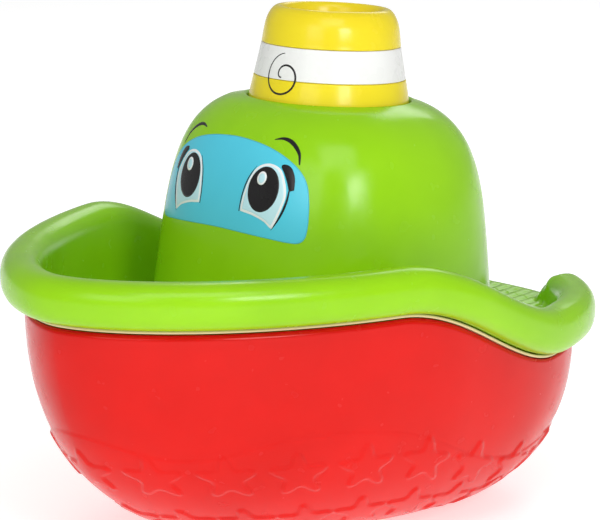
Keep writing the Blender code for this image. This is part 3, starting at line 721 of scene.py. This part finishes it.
# %% Eyes and brows
def eye(side, name):
    """Sclera with a white edge, pupil, highlight, lash and fine outlines, mirrored by side = 1 or -1."""
    centre = np.array([16.1, 110.0])

    def flat(points):
        return np.array(points, dtype=float) * [side, 1.0] + centre * [side, 1.0]

    white = flat([
        (0.4, 7.6), (4.3, 6.4), (6.6, 3.2), (7.9, -0.8), (7.4, -4.6), (5.6, -10.4), (4.6, -10.9),
        (2.0, -9.2), (-2.4, -7.8), (-6.2, -7.2), (-7.1, -6.6), (-6.9, -2.4), (-5.6, 3.0), (-3.4, 6.4),
    ])
    rim = smooth_loop(white, 150)
    ink_patch(name + "_white", rim, 0.10, WHITE_INK)
    sclera = flat([
        (0.4, 7.0), (3.9, 5.9), (6.0, 2.9), (7.2, -0.9), (6.7, -4.5), (5.0, -9.6), (4.3, -10.0),
        (1.9, -8.5), (-2.4, -7.1), (-5.9, -6.5), (-6.4, -6.0), (-6.2, -2.3), (-5.0, 2.8), (-3.0, 5.9),
    ])
    ink_patch(name + "_sclera", smooth_loop(sclera, 150), 0.13, PALE_INK)
    turn = np.linspace(0.0, 2.0 * math.pi, 96, endpoint=False)

    def oval(half_width, half_height, shift=(0.0, 0.0)):
        ring = np.stack([half_width * np.cos(turn), half_height * np.sin(turn)], axis=-1)
        return ring + centre * [side, 1.0] + shift

    ink_patch(name + "_pupil", oval(5.4, 6.7), 0.17, BLACK_INK)
    ink_patch(name + "_gleam_ring", oval(1.65, 2.0, (-1.1, 3.2)), 0.20, WHITE_INK, rings=5)
    ink_patch(name + "_gleam", oval(1.1, 1.4, (-1.1, 3.2)), 0.22, PALE_INK, rings=5)
    lash = smooth_path(flat([(4.5, 7.4), (6.6, 6.2), (8.3, 3.6), (9.3, 0.4)]), 40)
    ink_stroke(name + "_lash", lash, taper(40, 1.45, 0.25, 0.75), 0.16, BLACK_INK)
    outer = smooth_path(flat([(8.6, 1.2), (8.4, -3.0), (7.2, -7.2), (4.9, -11.6)]), 40)
    ink_stroke(name + "_outer_line", outer, taper(40, 0.42, 0.2, 0.0), 0.14, BLACK_INK)
    inner = smooth_path(flat([(-4.0, 6.6), (-6.2, 2.4), (-7.3, -2.6), (-7.5, -7.2)]), 40)
    ink_stroke(name + "_inner_line", inner, taper(40, 0.26, 0.0, 0.2), 0.14, BLACK_INK)
    arch = [(15.0, 124.3), (17.6, 124.8), (20.2, 124.3), (22.6, 122.9), (24.6, 120.8), (25.7, 117.9)]
    brow = smooth_path(np.array(arch) * [side, 1.0], 60)
    ink_stroke(name + "_brow", brow, taper(60, 0.52, 0.08, 0.16), 0.07, BLACK_INK)


eye(1.0, "port_eye")
eye(-1.0, "starboard_eye")

# %% [markdown]
# ## Swirl on the funnel
# A thin spiral is printed across the white band. It is a curve in two flat directions, distance
# round the cone and height, and the radius grows as a power of the turn. The same stroke helper
# lays it on the cone instead of the cabin.


# %% Make the swirl
def cone_front(around, height):
    """Point of the cone at an arc length round it and a height along the axis."""
    radius = funnel_radius(height)
    return pump_point(radius, height, around / 23.5)


share = np.linspace(0.0, 1.0, 170)
spin = np.radians(205.0 - 470.0 * share)
reach = 0.7 + 6.3 * share**0.62
swirl = np.stack([2.3 + reach * np.cos(spin), 138.7 + reach * np.sin(spin)], axis=-1)
ink_stroke(
    "funnel_swirl", swirl, taper(170, 0.34, 0.20, 0.12), 0.08, BLACK_INK,
    place=cone_front, body="plunger",
)

# %% [markdown]
# ## Return spring
# The spring sits between the cylinder's cap and the underside of the dish, and it has to shorten
# when the funnel is pressed. It is a round wire carried along a helix.

# %% Make the return spring
SPRING_R, WIRE_R, SPRING_TURNS = 9.2, 0.7, 7
SPRING_LOW, SPRING_HIGH = 111.1, 147.92
along = np.linspace(0.0, 1.0, SPRING_TURNS * 48 + 1)
coil = 2.0 * math.pi * SPRING_TURNS * along
height = SPRING_LOW + (SPRING_HIGH - SPRING_LOW) * along
turn = np.linspace(0.0, 2.0 * math.pi, 14, endpoint=False)
wire = WIRE_R * np.concatenate([[0.0], np.ones(len(along)), [0.0]])
coil, height = [np.concatenate([value[:1], value, value[-1:]]) for value in (coil, height)]
radius = SPRING_R + wire[:, None] * np.cos(turn)[None, :]
spring_grid = pump_point(radius, height[:, None] + wire[:, None] * np.sin(turn)[None, :], coil[:, None])
spring = piece("coil_spring", spring_grid, False, True, "boat", STEEL)
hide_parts("return_spring")
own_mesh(spring)

# %% [markdown]
# ## Parts that stay as solids
# Pump, valves, screws and ballast sit inside. Their solid shapes are right, so they only
# receive a finish: milky natural plastic, white plastic, rubber or steel.

# %% Finish the inner parts
INNER = {
    "pump_stem": MILKY, "pump_cylinder": MILKY, "cylinder_cap": MILKY, "piston": WHITE, "outlet_ball": WHITE,
    "foot_valve": WHITE, "inlet_ball": WHITE, "piston_seal": BLACK_RUBBER, "intake_seal": BLACK_RUBBER,
    "intake_strainer": BLACK_RUBBER, "cap_screw_1": STEEL, "cap_screw_2": STEEL,
    "cap_screw_3": STEEL, "ballast": STEEL,
}
for node, material in INNER.items():
    mesh = CAD_NODES[node].data
    mesh.materials.clear()
    mesh.materials.append(material)
print("inner parts finished:", len(INNER))

# %% [markdown]
# ## Floor, light and camera
# The boat stands on a pale floor that runs out of view and glows a little, so that it stays white
# without flooding the boat. A softbox ahead of the bow and one on the port side give the soft panes
# seen in the plastic, a panel high in front fills the top, and one behind lights the far side. The
# camera is far off with a long lens, so the toy shows little perspective.


# %% Stage
def flat_panel(name, size, height):
    """A square in the floor plane."""
    half = 0.5 * size
    corners = [(-half, -half, height), (half, -half, height), (half, half, height), (-half, half, height)]
    mesh = bpy.data.meshes.new(name)
    mesh.from_pydata(corners, [], [(0, 1, 2, 3)])
    obj = bpy.data.objects.new(name, mesh)
    bpy.context.scene.collection.objects.link(obj)
    return obj


floor = flat_panel("floor", 12.0, -0.0002)
PALE_FLOOR = finish(
    "pale_floor", (0.86, 0.86, 0.86), (0.84, 0.84, 0.84),
    rough=(0.6, 0.7), ripple=0.0, scale=3.0,
)
floor.data.materials.append(PALE_FLOOR)
glow = PALE_FLOOR.node_tree.nodes["Principled BSDF"]
glow.inputs["Emission Color"].default_value = (1.0, 1.0, 1.0, 1.0)
glow.inputs["Emission Strength"].default_value = 0.55


def softbox(name, azimuth, elevation, distance, width, height, power):
    """Area light that looks at the cabin; azimuth 90 is ahead of the bow and 180 is to port."""
    az, el = math.radians(azimuth), math.radians(elevation)
    back = np.array([math.sin(az) * math.cos(el), -math.cos(az) * math.cos(el), math.sin(el)])
    light = bpy.data.lights.new(name, "AREA")
    light.shape = "RECTANGLE"
    light.size, light.size_y = width, height
    light.energy = power
    obj = bpy.data.objects.new(name, light)
    obj.location = np.array([0.0, 0.0, 0.08]) + back * distance
    obj.rotation_euler = (math.radians(90.0 - elevation), 0.0, az)
    bpy.context.scene.collection.objects.link(obj)
    return obj


softbox("key_softbox", 105.0, 27.0, 1.0, 0.48, 0.42, 1.5)
softbox("quarter_softbox", 158.0, 24.0, 1.0, 0.30, 0.26, 3.0)
softbox("front_panel", 138.0, 50.0, 1.2, 0.70, 0.50, 3.2)
softbox("far_panel", 300.0, 35.0, 1.2, 0.60, 0.50, 2.2)
world = bpy.data.worlds.new("studio")
world.use_nodes = True
world.node_tree.nodes["Background"].inputs["Color"].default_value = (1.0, 1.0, 1.0, 1.0)
world.node_tree.nodes["Background"].inputs["Strength"].default_value = 0.38
bpy.context.scene.world = world
bpy.context.scene.view_settings.view_transform = "Standard"

# %% Camera
CAMERA_AZIMUTH, CAMERA_ELEVATION, CAMERA_DISTANCE = 134.0, 12.76, 0.932
az, el = math.radians(CAMERA_AZIMUTH), math.radians(CAMERA_ELEVATION)
camera_data = bpy.data.cameras.new("camera")
camera_data.sensor_width = 36.0
camera_data.lens = 179.5
camera_data.shift_x = 0.0133
camera_data.shift_y = 0.0056
camera_data.clip_end = 50.0
camera = bpy.data.objects.new("camera", camera_data)
back = np.array([math.sin(az) * math.cos(el), -math.cos(az) * math.cos(el), math.sin(el)])
camera.location = np.array([-0.0028, 0.0, 0.08]) + back * CAMERA_DISTANCE
camera.rotation_euler = (math.radians(90.0 - CAMERA_ELEVATION), 0.0, az)
bpy.context.scene.collection.objects.link(camera)
bpy.context.scene.camera = camera
print("camera at", [round(value, 3) for value in camera.location])

# %% [markdown]
# ## Finish

# %% Finish
bpy.context.view_layer.update()
